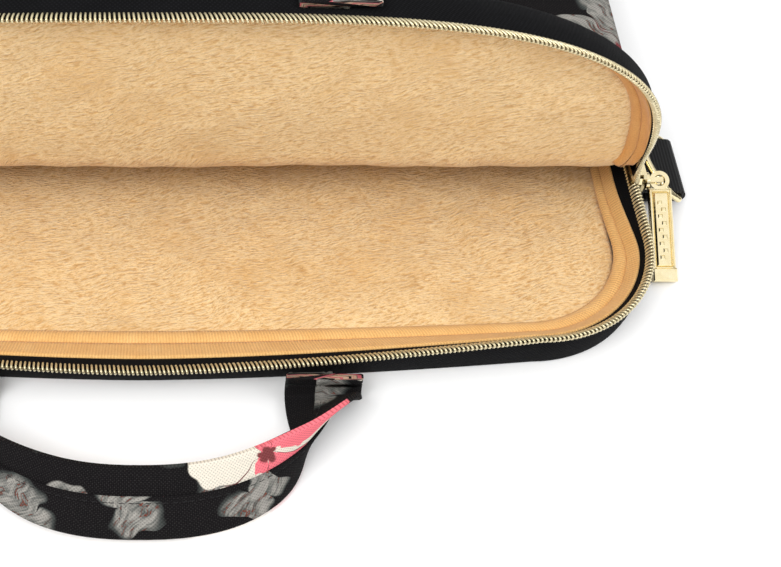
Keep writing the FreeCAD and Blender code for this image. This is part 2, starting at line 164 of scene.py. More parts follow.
# ---- materials ----------------------------------------------------------------------------
def floral_canvas():
    p = Paint("floral_canvas")
    cloth = p.uv()
    wobble = p.node("TexNoise", {"Vector": cloth, "Scale": 0.09, "Detail": 1.0}).outputs["Color"]
    wobble = p.vector("SCALE", p.vector("SUBTRACT", wobble, (0.5, 0.5, 0.5)), scale=11.0)
    drawn = p.vector("MULTIPLY", p.vector("ADD", cloth, wobble), (1, 1, 0))
    slanted = p.node("VectorRotate", {"Vector": drawn, "Angle": 0.7}, rotation_type="Z_AXIS").outputs[0]

    def motifs(cell, shift, petals, reach, depth):
        """Petalled shapes about scattered centres: share of the outline, petal number, lobe, lot."""
        spot = p.vector("SCALE", p.vector("ADD", drawn, shift), scale=1 / cell)
        cells = p.node("TexVoronoi", {"Vector": spot, "Scale": 1.0, "Randomness": 0.7},
                       voronoi_dimensions="2D")
        local = p.node("SeparateXYZ", {"Vector": p.vector("SUBTRACT", spot, cells.outputs["Position"])})
        lot = p.node("SeparateColor", {"Color": cells.outputs["Color"]}).outputs
        angle = p.math("ARCTAN2", local.outputs[1], local.outputs[0])
        angle = p.math("MULTIPLY", p.math("MULTIPLY_ADD", lot[1], 6.28, angle), petals / 2)
        lobes = p.math("ABSOLUTE", p.math("SINE", angle))
        number = p.math("FLOOR", p.math("DIVIDE", angle, math.pi))
        edge = p.math("MULTIPLY_ADD", p.math("POWER", lobes, 0.5), depth, reach)
        away = p.math("SQRT", p.math("ADD", p.math("POWER", local.outputs[0], 2.0),
                                     p.math("POWER", local.outputs[1], 2.0)))
        return p.math("DIVIDE", away, edge), number, lobes, lot

    black, rust = rgb("0a090b"), rgb("6e392d")
    streaks = p.noise(p.vector("MULTIPLY", slanted, (0.55, 0.13, 1)), 1.0, 2)
    fine = p.noise(p.vector("MULTIPLY", slanted, (1.6, 0.3, 1)), 1.0, 1)
    feather = p.mix(p.step(streaks, 0.38, 0.6), rgb("474c49"), rgb("918e88"))
    feather = p.mix(p.math("MULTIPLY", p.step(fine, 0.45, 0.65), 0.5), feather, rgb("a7a39c"))
    veins = p.math("MULTIPLY", p.step(streaks, 0.405, 0.39), p.step(streaks, 0.36, 0.375))
    feather = p.mix(veins, feather, rust)
    # Feathery grey leaves.
    share, _, _, lot = motifs(27.0, (9, 17, 0), 2, 0.1, 0.38)
    leaf = p.mix(p.step(share, 0.75, 0.95), feather, rgb("3c403e"))
    leaf_here = p.math("MULTIPLY", p.step(share, 1.06, 0.96), p.math("GREATER_THAN", lot[1], 0.3))
    colour = p.mix(leaf_here, black, leaf)
    # Open flowers, each petal pink, peach or cream; some flowers are grey.
    share, number, lobes, lot = motifs(62.0, (-6, 4, 0), 5, 0.2, 0.24)
    draw = p.node("TexWhiteNoise", {"W": p.math("MULTIPLY_ADD", lot[2], 37.0, number)},
                  noise_dimensions="1D").outputs["Value"]
    bloom = p.mix(p.math("GREATER_THAN", draw, 0.36), rgb("ee7580"), rgb("e8c0a2"))
    bloom = p.mix(p.math("GREATER_THAN", draw, 0.62), bloom, rgb("e2dacb"))
    patch = p.noise(drawn, 0.16, 1)
    bloom = p.mix(p.step(patch, 0.62, 0.635), bloom, rgb("ee7580"))
    bloom = p.mix(p.step(patch, 0.36, 0.345), bloom, rgb("e2dacb"))
    petals = p.mix(p.math("GREATER_THAN", lot[0], 0.7), bloom, feather)
    petals = p.mix(p.step(lobes, 0.07, 0.03), petals, rgb("6a3031"))
    petals = p.mix(p.step(share, 0.13, 0.1), petals, rgb("7a3a3c"))
    colour = p.mix(p.step(share, 1.02, 0.99), colour, petals)
    threads, normal = weave(p, 0.62, 0.14)
    # Painted shade in the low spots of the weave and a faint painted highlight on the raised threads.
    colour = p.mix(p.math("MULTIPLY", p.step(threads, 0.45, 0.05), 0.4), colour, rgb("2a2526"))
    colour = p.mix(p.math("MULTIPLY", p.step(threads, 0.5, 1.1), 0.05), colour, rgb("b5b0aa"))
    return p.finish(colour, 0.95, normal, specular=0.1)


def black_canvas(name="black_canvas", pitch=0.7, depth=0.14, tone="0e0e10"):
    p = Paint(name)
    threads, normal = weave(p, pitch, depth)
    fade = p.noise(p.uv((9, 5, 1)), 1.0, 3)
    colour = p.mix(fade, rgb("060607"), rgb(tone))
    # Painted highlight on the raised threads of the weave.
    colour = p.mix(p.math("MULTIPLY", p.step(threads, 0.55, 1.0), 0.35), colour, rgb("242427"))
    return p.finish(colour, 0.95, normal, specular=0.12)


def webbing():
    p = Paint("webbing")
    place = p.place()
    ribs = p.node("TexWave", {"Vector": place, "Scale": 0.314 / 1.1, "Distortion": 0.2, "Detail": 1.0},
                  bands_direction="X").outputs["Fac"]
    fine = p.noise(place, 2.4, 3)
    # Lighter where the ribs rise, varied by noise: painted highlight on the rib crests.
    colour = p.mix(p.math("MULTIPLY", ribs, fine), rgb("060607"), rgb("1d1d20"))
    normal = p.bump(p.math("ADD", ribs, p.math("MULTIPLY", fine, 0.6)), 0.22)
    return p.finish(colour, 0.75, normal, sheen=0.06, specular=0.35)


def plush():
    """Short pile combed roughly one way, with parted spots; its colour carries painted light: lighter tufts,
    painted shade between strands and in the parted spots.
    """
    p = Paint("plush")
    cloth = p.uv()
    swirl = p.node("TexNoise", {"Vector": cloth, "Scale": 0.03, "Detail": 1.0}).outputs["Color"]
    swirl = p.vector("SCALE", p.vector("SUBTRACT", swirl, (0.5, 0.5, 0.5)), scale=12.0)
    lay = p.vector("ADD", cloth, swirl)
    lay = p.node("VectorRotate", {"Vector": lay, "Angle": -0.3}, rotation_type="Z_AXIS").outputs[0]
    tufts = p.noise(p.vector("MULTIPLY", lay, (0.42, 1.5, 1)), 1.0, 2, 0.55, 0.3)
    hairs = p.noise(p.vector("MULTIPLY", lay, (1.2, 4.2, 1)), 1.0, 2, 0.6)
    patches = p.noise(cloth, 0.03, 3, 0.6)
    parted_shade = p.step(p.noise(p.vector("ADD", cloth, (31, 7, 0)), 0.045, 2), 0.66, 0.78)
    # Painted light on the pile: raised tufts painted lighter, the hollows between them darker.
    colour = p.mix(p.step(tufts, 0.3, 0.5), rgb("ca9b5f"), rgb("e9c792"))
    colour = p.mix(p.math("MULTIPLY", p.step(tufts, 0.5, 0.75), 0.6), colour, rgb("f3dcb3"))
    # Painted shade under the strands.
    colour = p.mix(p.math("MULTIPLY", p.step(hairs, 0.5, 0.3), 0.5), colour, rgb("ad8048"))
    # Broad darker patches: partly the pile's own brush marks, partly painted shade of folds.
    colour = p.mix(p.math("MULTIPLY", p.step(patches, 0.48, 0.7), 0.5), colour, rgb("d3a668"))
    # Painted shade where the pile parts.
    colour = p.mix(p.math("MULTIPLY", p.math("MULTIPLY", parted_shade, p.step(tufts, 0.7, 0.3)), 0.7),
                   colour, rgb("b4813f"))
    normal = p.bump(p.math("MULTIPLY_ADD", hairs, 0.3, tufts), 0.8)
    return p.finish(colour, 0.95, normal, sheen=0.3, specular=0.1)


def suede():
    p = Paint("lining")
    cloth = p.uv()
    clouds = p.noise(cloth, 0.08, 4, 0.6)
    grain = p.noise(cloth, 2.0, 3)
    colour = p.mix(clouds, rgb("b47a3c"), rgb("d9a566"))
    colour = p.mix(p.math("MULTIPLY", p.step(grain, 0.55, 0.3), 0.35), colour, rgb("96632c"))
    return p.finish(colour, 0.9, p.bump(grain, 0.18), sheen=0.2, specular=0.2)


def ribbed_trim():
    p = Paint("ribbed_trim")
    ribs = p.node("TexWave", {"Vector": p.uv(), "Scale": 0.314 / 1.0, "Distortion": 0.3, "Detail": 1.0},
                  bands_direction="X").outputs["Fac"]
    clouds = p.noise(p.uv(), 0.12, 3)
    fuzz = p.noise(p.uv(), 1.3, 3)
    colour = p.mix(clouds, rgb("dba660"), rgb("efc584"))
    # Darker in the troughs between the ribs: painted shade.
    colour = p.mix(p.math("MULTIPLY", p.step(ribs, 0.45, 0.0), 0.35), colour, rgb("a8743a"))
    colour = p.mix(p.math("MULTIPLY", p.step(fuzz, 0.5, 0.3), 0.3), colour, rgb("bb8543"))
    return p.finish(colour, 0.85, p.bump(p.math("ADD", ribs, fuzz), 0.16), sheen=0.15, specular=0.3)


def coil_gold():
    p = Paint("zip_coil")
    worn = p.noise(p.place(), 0.8, 3)
    colour = p.mix(worn, rgb("b9a97e"), rgb("f0e6c4"))
    return p.finish(colour, p.math("MULTIPLY_ADD", worn, 0.2, 0.14), p.bump(worn, 0.03), metal=0.6)


def polished_gold():
    p = Paint("gold_metal")
    cloud = p.noise(p.place(), 0.35, 2)
    grit = p.noise(p.place(), 6.0, 2)
    colour = p.mix(cloud, rgb("e6d3a0"), rgb("f8ecc8"))
    return p.finish(colour, p.math("MULTIPLY_ADD", grit, 0.1, 0.1), p.bump(cloud, 0.05), metal=1.0)


def foam():
    p = Paint("padding")
    pores = p.noise(p.place(), 1.6, 4, 0.7)
    return p.finish(p.mix(pores, rgb("77777a"), rgb("b4b4b6")), 0.95, p.bump(pores, 0.3))


MATERIALS = {
    "floral_canvas": floral_canvas(), "black_canvas": black_canvas(), "webbing": webbing(),
    "plush": plush(), "lining": suede(), "ribbed_trim": ribbed_trim(), "padding": foam(),
    "zip_tape": black_canvas("zip_tape", 0.5, 0.08, "0b0b0d"), "zip_coil": coil_gold(),
    "gold_metal": polished_gold(),
}


# ---- lines and grids, in millimetres --------------------------------------------------------
def resample(line, count):
    line = np.asarray(line, float)
    lengths = np.concatenate([[0], np.cumsum(np.linalg.norm(np.diff(line, axis=0), axis=1))])
    at = np.linspace(0, lengths[-1], count)
    return np.stack([np.interp(at, lengths, line[:, k]) for k in range(3)], axis=1)


def soften(line, times):
    line = np.array(line, float)
    for _ in range(times):
        line[1:-1] = (line[:-2] + 2 * line[1:-1] + line[2:]) / 4
    return line


def unit(vectors):
    return vectors / np.maximum(np.linalg.norm(vectors, axis=-1, keepdims=True), 1e-9)


def smooth(t):
    t = np.clip(t, 0, 1)
    return t * t * (3 - 2 * t)


def both_sides(right):
    right = np.asarray(right, float)
    return np.vstack([right, right[::-1][1:] * (-1, 1, 1)])


COUNT = 321   # points along every long line round the mouth or the rear


def mouth_line(half, corner, front, bulge, side_z, middle_z):
    """A line round the mouth of the fixed part, from the right end of the slot to the left one."""
    cx, cy = half - corner, front + corner
    flat = [(half, SLOT_END + (cy - SLOT_END) * k / 12) for k in range(12)]
    flat += [(cx + corner * math.cos(a), cy - corner * math.sin(a)) for a in np.linspace(0, math.pi / 2, 30)]
    flat += [(cx * (1 - k / 30), front - bulge * (1 - (1 - k / 30) ** 1.6)) for k in range(1, 31)]
    line = [(x, y, side_z + (middle_z - side_z) * float(smooth(1 - x / (cx + 14)))) for x, y in flat]
    return resample(both_sides(line), COUNT)


def flap_line(half, top, power, depths, start, low=TOP + 6):
    """A line round the open flap; depths are how far it stands towards -Y, low and high up."""
    line = list(start)
    for a in np.linspace(0, math.pi / 2, 90):
        z = LIFT + (top - LIFT) * math.sin(a) ** (2 / power)
        if z > low:
            lean = depths[0] + (depths[1] - depths[0]) * math.sin(math.pi / 2 * min((z - 18) / 80, 1))
            line.append((half * math.cos(a) ** (2 / power), FOLD - lean, z))
    return resample(soften(resample(both_sides(line), 900), 60), COUNT)


def upper(line, z):
    """The part of a flap line above a height, drawn in to a rounded lower end."""
    line = resample(line[line[:, 2] > z], COUNT)
    line[:, 0] -= np.sign(line[:, 0]) * 4.0 * (1 - np.sqrt(np.clip((line[:, 2] - z) / 9, 0, 1)))
    return line


def tucked(line, amount):
    """A mouth line drawn in towards the rear, where the corner disappears under the flap."""
    line = line.copy()
    line[:, 0] -= np.sign(line[:, 0]) * amount * smooth((line[:, 1] + 85) / 35)
    return line


def rear_line(half, z):
    """A line round the closed rear of the bag."""
    inset = HALF - half
    corner, back = CORNER - inset, REAR - inset
    line = [(half, SLOT_END, z)]
    line += [(half - corner + corner * math.cos(a), back - corner + corner * math.sin(a), z)
             for a in np.linspace(0, math.pi / 2, 30)]
    line.append((0, back, z))
    return resample(both_sides(line), COUNT)


def span(a, b, rows, start=0.0, end=1.0):
    t = np.linspace(start, end, rows)[:, None, None]
    return a[None] * (1 - t) + b[None] * t


def normals(grid, inside):
    across = np.gradient(grid, axis=0)
    along = np.gradient(grid, axis=1)
    n = unit(np.cross(along, across))
    away = np.sum(n * (grid - np.asarray(inside, float)), axis=2).mean()
    return n if away > 0 else -n


# ---- mesh building --------------------------------------------------------------------------
def build(name, points, faces, uvs=None, slot="black_canvas", smooth_faces=True):
    data = bpy.data.meshes.new(name)
    corners = [tuple(int(i) for i in f) for f in faces]
    data.from_pydata([tuple(v) for v in np.asarray(points) * MM], [], corners)
    if uvs is not None:
        layer = data.uv_layers.new(name="UVMap")
        index = np.empty(len(data.loops), int)
        data.loops.foreach_get("vertex_index", index)
        layer.data.foreach_set("uv", (np.asarray(uvs) * MM)[index].ravel())
    data.polygons.foreach_set("use_smooth", [smooth_faces] * len(data.polygons))
    data.materials.append(MATERIALS[slot])
    data.update()
    thing = bpy.data.objects.new(name, data)
    bpy.context.scene.collection.objects.link(thing)
    return thing


def grid_faces(rows, cols, start=0, wrap=False):
    r, c = np.meshgrid(np.arange(rows - 1), np.arange(cols if wrap else cols - 1), indexing="ij")
    d = (c + 1) % cols
    a = start + r * cols
    b = start + (r + 1) * cols
    return np.stack([a + c, a + d, b + d, b + c], axis=-1).reshape(-1, 4)


def lengths_of(grid):
    along = np.linalg.norm(np.diff(grid, axis=1), axis=2)
    across = np.linalg.norm(np.diff(grid, axis=0), axis=2)
    u = np.concatenate([np.zeros((grid.shape[0], 1)), np.cumsum(along, axis=1)], axis=1)
    v = np.concatenate([np.zeros((1, grid.shape[1])), np.cumsum(across, axis=0)], axis=0)
    u = np.broadcast_to(u.mean(axis=0), u.shape)
    return np.stack([u, v], axis=-1)


def layer(name, face, back, slot, uv=None):
    """A closed piece of cloth between two grids of points."""
    rows, cols = face.shape[:2]
    count = rows * cols
    uv = lengths_of(face) if uv is None else uv
    front = grid_faces(rows, cols)
    rear = grid_faces(rows, cols, count)[:, ::-1]
    rim = [i for i in range(cols)] + [r * cols + cols - 1 for r in range(1, rows)]
    rim += [(rows - 1) * cols + i for i in range(cols - 2, -1, -1)]
    rim += [r * cols for r in range(rows - 2, 0, -1)]
    sides = [(rim[(i + 1) % len(rim)], rim[i], rim[i] + count, rim[(i + 1) % len(rim)] + count)
             for i in range(len(rim))]
    points = np.concatenate([face.reshape(-1, 3), back.reshape(-1, 3)])
    uvs = np.concatenate([uv.reshape(-1, 2)] * 2)
    return build(name, points, np.concatenate([front, rear, np.array(sides)]), uvs, slot)


def wall(name, low, high, slot, inside, gauge=1.0, rows=9, bulge=0.0, lift=0.0):
    """Cloth hung between two lines: bulged outwards, lift millimetres outside them."""
    grid = span(low, high, rows)
    n = normals(grid, inside)
    t = np.linspace(0, 1, rows)[:, None, None]
    face = grid + n * (lift + bulge * np.sin(math.pi * t))
    return layer(name, face, face - n * gauge, slot)


def crossing(thing, *nodes):
    """Cloth that runs from the fixed part on to the flap."""
    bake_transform(thing)
    if nodes:
        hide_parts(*nodes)
    return thing


def fixed(thing, *nodes):
    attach(thing, "shell")
    if nodes:
        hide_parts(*nodes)
    return thing


# ---- front panel: one run of cloth from the rear seam, over the fold, up the flap ---------------
RUN = np.linspace(0, 290, 1161)
BEND_HALF = 6.0   # half the length over which the fold is spread
flat_run = REAR - FOLD
heading = OPEN * smooth((RUN - flat_run + BEND_HALF) / (2 * BEND_HALF))
stride = RUN[1] - RUN[0]
run_y = REAR - np.concatenate([[0], np.cumsum(np.cos(heading[:-1]))]) * stride
run_z = TOP + np.concatenate([[0], np.cumsum(np.sin(heading[:-1]))]) * stride
flat = int(flat_run / stride)


def front_point(x, run, depth):
    """A point of the front panel: run from the rear seam, depth inwards from the outer face."""
    turn = np.interp(run, RUN, heading)
    y = np.interp(run, RUN, run_y) - depth * np.sin(turn)
    z = np.interp(run, RUN, run_z) - depth * np.cos(turn)
    return np.stack(np.broadcast_arrays(x, y, z), axis=-1)


def panel_grid(half, rear_inset, flap_half, top, power, cols=121):
    """Across, run and distance from the edge: round rear corners, an arched flap."""
    corner = CORNER - rear_inset
    rows = [(rear_inset + corner * (1 - math.cos(a)), half - corner + corner * math.sin(a))
            for a in np.linspace(0, math.pi / 2, 14)]
    rows += [(run, half) for run in np.linspace(rear_inset + corner, flat_run - 12, 40)[1:]]
    rows += [(run, half + (flap_half - half) * float(smooth((run - flat_run + 12) / 20)))
             for run in np.linspace(flat_run - 12, flat_run + 8, 24)[1:]]
    start = math.asin(((TOP + 9 - LIFT) / (top - LIFT)) ** (power / 2))
    for a in np.linspace(start, math.pi / 2, 60)[1:]:
        z = LIFT + (top - LIFT) * math.sin(a) ** (2 / power)
        rows.append((float(np.interp(z, run_z[flat:], RUN[flat:])),
                     max(flap_half * math.cos(a) ** (2 / power), 30 * math.cos(a))))
    run = np.array([r[0] for r in rows])[:, None]
    width = np.array([r[1] for r in rows])[:, None]
    u = np.linspace(-1, 1, cols)[None]
    x = width * np.sign(u) * (1 - (1 - abs(u)) ** 1.15)
    edge = np.minimum(width - abs(x), np.minimum(run - rear_inset, run.max() - run))
    return x, run + 0 * x, edge


def rounded(edge, radius):
    t = np.clip(1 - edge / radius, 0, 1)
    return np.sqrt(1 - t * t)


def ripple(x, y, size, amount):
    """Gentle unevenness of soft cloth."""
    x, y = x / size, y / size
    return amount * np.sin(x + 1.3 * np.sin(y * 0.7)) * np.cos(y * 1.1 + 0.8 * np.sin(x * 0.6))


FLAP_HALF, FLAP_TOP, FLAP_POWER = 170.5, 111.0, 2.75
x, run, edge = panel_grid(HALF, rear_inset=0, flap_half=FLAP_HALF - 0.9, top=FLAP_TOP - 0.6, power=FLAP_POWER)
outer = front_point(x, run, 0.9 * (1 - rounded(edge, 5)))
crossing(layer("front_panel_canvas", outer, front_point(x, run, CANVAS + 0 * x), "floral_canvas",
               np.stack([x, run], axis=-1)), "front_canvas", "flap_canvas")
x, run, edge = panel_grid(HALF - 4, rear_inset=4, flap_half=162.5, top=106.0, power=3.2)
pad = crossing(layer("front_panel_padding", front_point(x, run, CANVAS + 0 * x),
                     front_point(x, run, FOAM + 0 * x), "padding"), "front_foam", "flap_foam")
x, run, edge = panel_grid(HALF - 9, rear_inset=5, flap_half=160.8, top=104.5, power=3.6, cols=201)
soft = 2.6 * rounded(edge, 4) + ripple(x, run, 17, 0.35) * rounded(edge, 8)
soft += ripple(x * 1.7, run * 2.3, 6, 0.22) * rounded(edge, 8)
pile = crossing(layer("front_panel_plush", front_point(x, run, FOAM + soft),
                      front_point(x, run, FOAM - 0.1 + 0 * x), "plush", np.stack([x, run], axis=-1)),
                "front_plush", "flap_plush")

# ---- back panel -----------------------------------------------------------------------------
def plan_grid(half, front, corner, rows=60, cols=121, back=REAR, bulge=4.0):
    """Rounded plan: x, y and distance from the edge."""
    a = np.linspace(0, math.pi / 2, 16)
    turn = corner * (1 - np.cos(a))
    straight = np.linspace(front + corner, back - corner, rows)[1:-1]
    y = np.concatenate([front + turn, straight, (back - turn)[::-1]])[:, None]
    near = np.minimum(y - front, back - y)
    width = half - corner + np.sqrt(np.maximum(corner ** 2 - np.maximum(corner - near, 0) ** 2, 0))
    u = np.linspace(-1, 1, cols)[None]
    x = width * np.sign(u) * (1 - (1 - abs(u)) ** 1.15)
    y = y - bulge * smooth(1 - (y - front) / 60) * (1 - abs(x / width) ** 1.6)
    return x, y, np.minimum(width - abs(x), np.broadcast_to(near, x.shape))


BACK_CANVAS = 1.4   # height at which the back panel's canvas ends
x, y, edge = plan_grid(half=170.2, front=-117.2, corner=42, bulge=7.2)
bottom = np.stack([x, y, 0.9 * (1 - rounded(edge, 5))], axis=-1)
fixed(layer("back_panel_canvas", bottom, np.stack([x, y, BACK_CANVAS + 0 * x], axis=-1), "floral_canvas",
            np.stack([x, y], axis=-1)), "back_canvas")
x, y, edge = plan_grid(half=165, front=-111, corner=36, back=REAR - 5)
fixed(layer("back_panel_padding", np.stack([x, y, BACK_CANVAS + 0 * x], axis=-1),
                      np.stack([x, y, FOAM + 0 * x], axis=-1), "padding"), "back_foam")
x, y, edge = plan_grid(half=163, front=-108.5, corner=34, rows=110, cols=221, back=REAR - 5)
soft = 2.4 * rounded(edge, 4) + ripple(x + 40, y, 19, 0.4) * rounded(edge, 8)
soft += ripple(x * 1.7, y * 2.3, 6, 0.25) * rounded(edge, 8)
fixed(layer("back_panel_plush", np.stack([x, y, FOAM + soft], axis=-1),
                      np.stack([x, y, FOAM - 0.1 + 0 * x], axis=-1), "plush", np.stack([x, y], axis=-1)),
                "back_plush")

# ---- side walls -----------------------------------------------------------------------------
INSIDE = (0, -20, 18)
FLAP_INSIDE = (0, -64, 50)
seam_low = mouth_line(half=171.2, corner=42, front=-118.3, bulge=7.5, side_z=0.8, middle_z=0.8)
chain_low = mouth_line(half=171.4, corner=42, front=-121.5, bulge=10.7, side_z=17.8, middle_z=15.0)
trim_low = mouth_line(half=169.6, corner=41, front=-117.5, bulge=9.0, side_z=13.0, middle_z=13.3)
trim_low = tucked(trim_low, 3.0)
rear_low, rear_high = rear_line(HALF - 0.3, 0.8), rear_line(HALF - 0.3, TOP - 0.8)
seam_flap = flap_line(FLAP_HALF, FLAP_TOP, FLAP_POWER, (0, 0.5),
                      [(HALF, SLOT_END, 35.0), (HALF - 0.5, FOLD, 35.4)])
chain_flap = flap_line(half=167.6, top=110.5, power=3.3, depths=(0, 18.2), low=36,
                       start=[(171.6, SLOT_END, 18.6), (171.2, -57, 19.5), (168.8, -60, 29)])
binding_flap = flap_line(half=163.4, top=107.2, power=3.45, depths=(8.6, 10.0), low=34,
                         start=[(163.0, -62.5, 29)])
trim_flap = flap_line(half=165.8, top=110.3, power=3.3, depths=(6.5, 15.5), low=40,
                      start=[(170, SLOT_END, 21), (168.6, -57, 25)])
canvas_low = trim_low * 0.4 + chain_low * 0.6 - (0, 0, 0.5)
canvas_flap = trim_flap * 0.5 + chain_flap * 0.5

fixed(wall("rear_wall_canvas", rear_low, rear_high, "black_canvas", INSIDE, bulge=1.0, rows=13),
      "gusset_canvas")
fixed(wall("mouth_wall_canvas", seam_low, canvas_low, "black_canvas", INSIDE, bulge=0.7))
crossing(wall("flap_wall_canvas", seam_flap, canvas_flap, "black_canvas", FLAP_INSIDE, bulge=0.9, lift=0.5),
         "flap_gusset_canvas")
fixed(wall("rear_wall_lining", rear_line(HALF - 3, 1.5), rear_line(HALF - 3, 34.5), "lining", INSIDE),
      "gusset_lining", "gusset_foam")

# Inside the mouth: binding, facing and tape follow one another from the plush out to the chain.
plush_low = mouth_line(half=163.2, corner=36, front=-108.0, bulge=3.6, side_z=6.6, middle_z=6.6)
plush_low = tucked(plush_low, 1.5)
binding_low = mouth_line(half=166.6, corner=38, front=-112.6, bulge=4.6, side_z=8.4, middle_z=8.2)
binding_low = tucked(binding_low, 2.4)
fixed(wall("mouth_binding", plush_low, binding_low, "ribbed_trim", INSIDE, 1.4, 7, bulge=-0.9),
      "lower_binding")
fixed(wall("mouth_facing", binding_low, trim_low, "ribbed_trim", INSIDE, 1.0, 7), "lower_facing")
plush_flap = flap_line(half=160.2, top=103.8, power=3.6, depths=(6.8, 7.0), low=34,
                       start=[(160.2, -61.5, 30)])
TRIM_LOW = 36.5   # height at which the flap's trims end
plush_edge, seam_line, tape_edge = (upper(line, TRIM_LOW) for line in (plush_flap, binding_flap, trim_flap))
crossing(wall("flap_binding_tape", plush_edge, seam_line, "lining", FLAP_INSIDE, 1.2, 7, bulge=-0.8),
         "flap_binding", "front_binding")
crossing(wall("flap_facing_suede", seam_line, tape_edge, "lining", FLAP_INSIDE, 0.8, 9, bulge=0.5),
         "flap_facing", "flap_gusset_lining", "flap_gusset_foam")

THREAD = 0.2   # half the thickness of a stitch
DIAMOND = ((1, 0), (0, 1), (-1, 0), (0, -1))   # section of the thread


def add_stitch(points, faces, beads, side, up):
    """Append one stitch: a square thread through beads of (centre, share of the full thickness)."""
    start = len(points)
    for centre, share in beads:
        points += [centre + (side * c + up * d) * THREAD * share for c, d in DIAMOND]
    last = start + 4 * (len(beads) - 1)
    faces += [(k + j, k + (j + 1) % 4, k + 4 + (j + 1) % 4, k + 4 + j)
              for k in range(start, last, 4) for j in range(4)]
    faces += [tuple(range(start + 3, start - 1, -1)), tuple(range(last, last + 4))]


def stitch_row(name, line, inwards, join, stride=3.0):
    """Dark stitches sunk along a seam line."""
    total = np.linalg.norm(np.diff(line, axis=0), axis=1).sum()
    spots = resample(line, int(total / stride) * 2)
    points, faces = [], []
    for a, b in zip(spots[:-1:2], spots[1::2]):
        along = unit(b - a)
        up = unit(np.asarray(inwards, float) - a)
        beads = [(a - along * 0.5, 0.3), (a, 1.0), (b, 1.0), (b + along * 0.5, 0.3)]
        add_stitch(points, faces, beads, np.cross(along, up), up)
    return join(build(name, points, faces, None, "webbing"))


stitch_row("flap_seam_stitches", seam_line * 0.9995 + (0, -0.35, 0), (0, -90, 55), crossing, 2.2)


# ---- zip ------------------------------------------------------------------------------------
FAR_BELOW = (0, 0, -10000)


def zip_half(name, tape_edge, chain, behind, tape_node, coil_node, join):
    """A woven tape and the coil sewn along its edge, on the side away from the point behind it."""
    tape = span(tape_edge, chain, 5, -0.1, 0.92)
    middle, edge = resample(chain, 1600), resample(tape_edge, 1600)
    reach = unit(middle - edge)
    out = unit(np.cross(np.gradient(middle, axis=0), reach))
    if np.sum(out * (middle - behind), axis=1).mean() < 0:
        out = -out
    thin = np.stack([resample(out, COUNT)] * 5) * 0.3
    join(layer(name + "_tape_cloth", tape + thin, tape - thin, "zip_tape"), tape_node)
    length = np.linalg.norm(np.diff(middle, axis=0), axis=1).sum()
    pitch, per_turn, wire, ring = 1.42, 12, 0.39, 6
    half_wide, half_tall, set_back = 1.75, 0.8, 0.6
    turns = int(length / pitch)
    t = np.arange(turns * per_turn) / per_turn
    s = t / turns * (len(middle) - 1)
    at = [np.stack([np.interp(s, np.arange(len(middle)), v[:, k]) for k in range(3)], axis=1)
          for v in (middle, reach, out)]
    c, w = np.cos(2 * math.pi * t)[:, None], np.sin(2 * math.pi * t)[:, None]
    centre = at[0] + at[1] * (half_wide * np.sign(c) * abs(c) ** 0.8 - set_back) + at[2] * half_tall * w
    ahead = unit(np.gradient(centre, axis=0))
    side = unit(np.cross(ahead, unit(np.gradient(at[0], axis=0))))
    up = np.cross(ahead, side)
    angle = np.arange(ring) / ring * 2 * math.pi
    tube = centre[:, None] + wire * (side[:, None] * np.cos(angle)[None, :, None]
                                     + up[:, None] * np.sin(angle)[None, :, None])
    faces = list(grid_faces(len(centre), ring, wrap=True))
    faces += [tuple(range(ring))[::-1], tuple(range((len(centre) - 1) * ring, len(centre) * ring))]
    join(build(name + "_coil_wire", tube.reshape(-1, 3), faces, None, "zip_coil"), coil_node)


zip_half("lower", trim_low, chain_low, FAR_BELOW, "lower_zip_tape", "lower_zip_coil", fixed)
zip_half("upper", trim_flap, chain_flap, FLAP_INSIDE, "upper_zip_tape", "upper_zip_coil", crossing)

# ---- handles ----------------------------------------------------------------------------------
STRAP_HALF, STRAP_GAUGE = 12.5, 3.0
STRAP_X, REACH, GAP = 59.0, 43.8, 0.3   # half the span, the arch's reach, how far in front it starts
TWIST = math.radians(122)               # how far the arch is rolled over at its middle
SEAM = 2.5                              # where the lower band's edge lies across the strap
UPPER_BAND, LOWER_BAND = (167.0, 33.0), (41.0, 86.0)   # where each band is cut from the print
STRAP_STITCH = ((-0.95, 0.35), (-0.6, 1), (0.6, 1), (0.95, 0.35))   # place along, share of thickness


def strap_frames(steps=240):
    """Centre, broad direction and thickness direction of the strap, from its hinge line."""
    out = []
    for i in range(steps + 1):
        turn = math.pi * i / steps
        side, reach = math.cos(turn), math.sin(turn)
        x = STRAP_X * math.copysign(abs(side) ** 0.84, side)
        roll = TWIST * (1 - (1 - min(min(i, steps - i) / steps / 0.48, 1)) ** 2.6)
        lift = STRAP_HALF * math.sin(roll) + STRAP_GAUGE / 2 * (abs(math.cos(roll)) - 2)
        out.append((x, -GAP - REACH * reach, lift, roll))
    # The strap comes down the wall below the zip before it lies flat.
    drop = [(1.9, 8.6), (2.4, 4.6), (2.2, 1.6), (1.2, -0.6), (0.4, -1.3)]
    out = [(STRAP_X, y, z, 0.0) for y, z in drop] + out + [(-STRAP_X, y, z, 0.0) for y, z in drop[::-1]]
    out = np.array(out)
    at = np.concatenate([[0], np.cumsum(np.linalg.norm(np.diff(out[:, :3], axis=0), axis=1))])
    even = np.linspace(0, at[-1], int(at[-1]))
    out = np.stack([np.interp(even, at, out[:, k]) for k in range(4)], axis=1)
    out = soften(out, 14)
    centre, roll = out[:, :3], out[:, 3:]
    ahead = unit(np.gradient(centre, axis=0))
    outward = unit(np.stack([-ahead[:, 1], ahead[:, 0], 0 * ahead[:, 0]], axis=1))
    up = np.cross(ahead, outward)
    return centre, outward * np.cos(roll) + up * np.sin(roll), up * np.cos(roll) - outward * np.sin(roll)


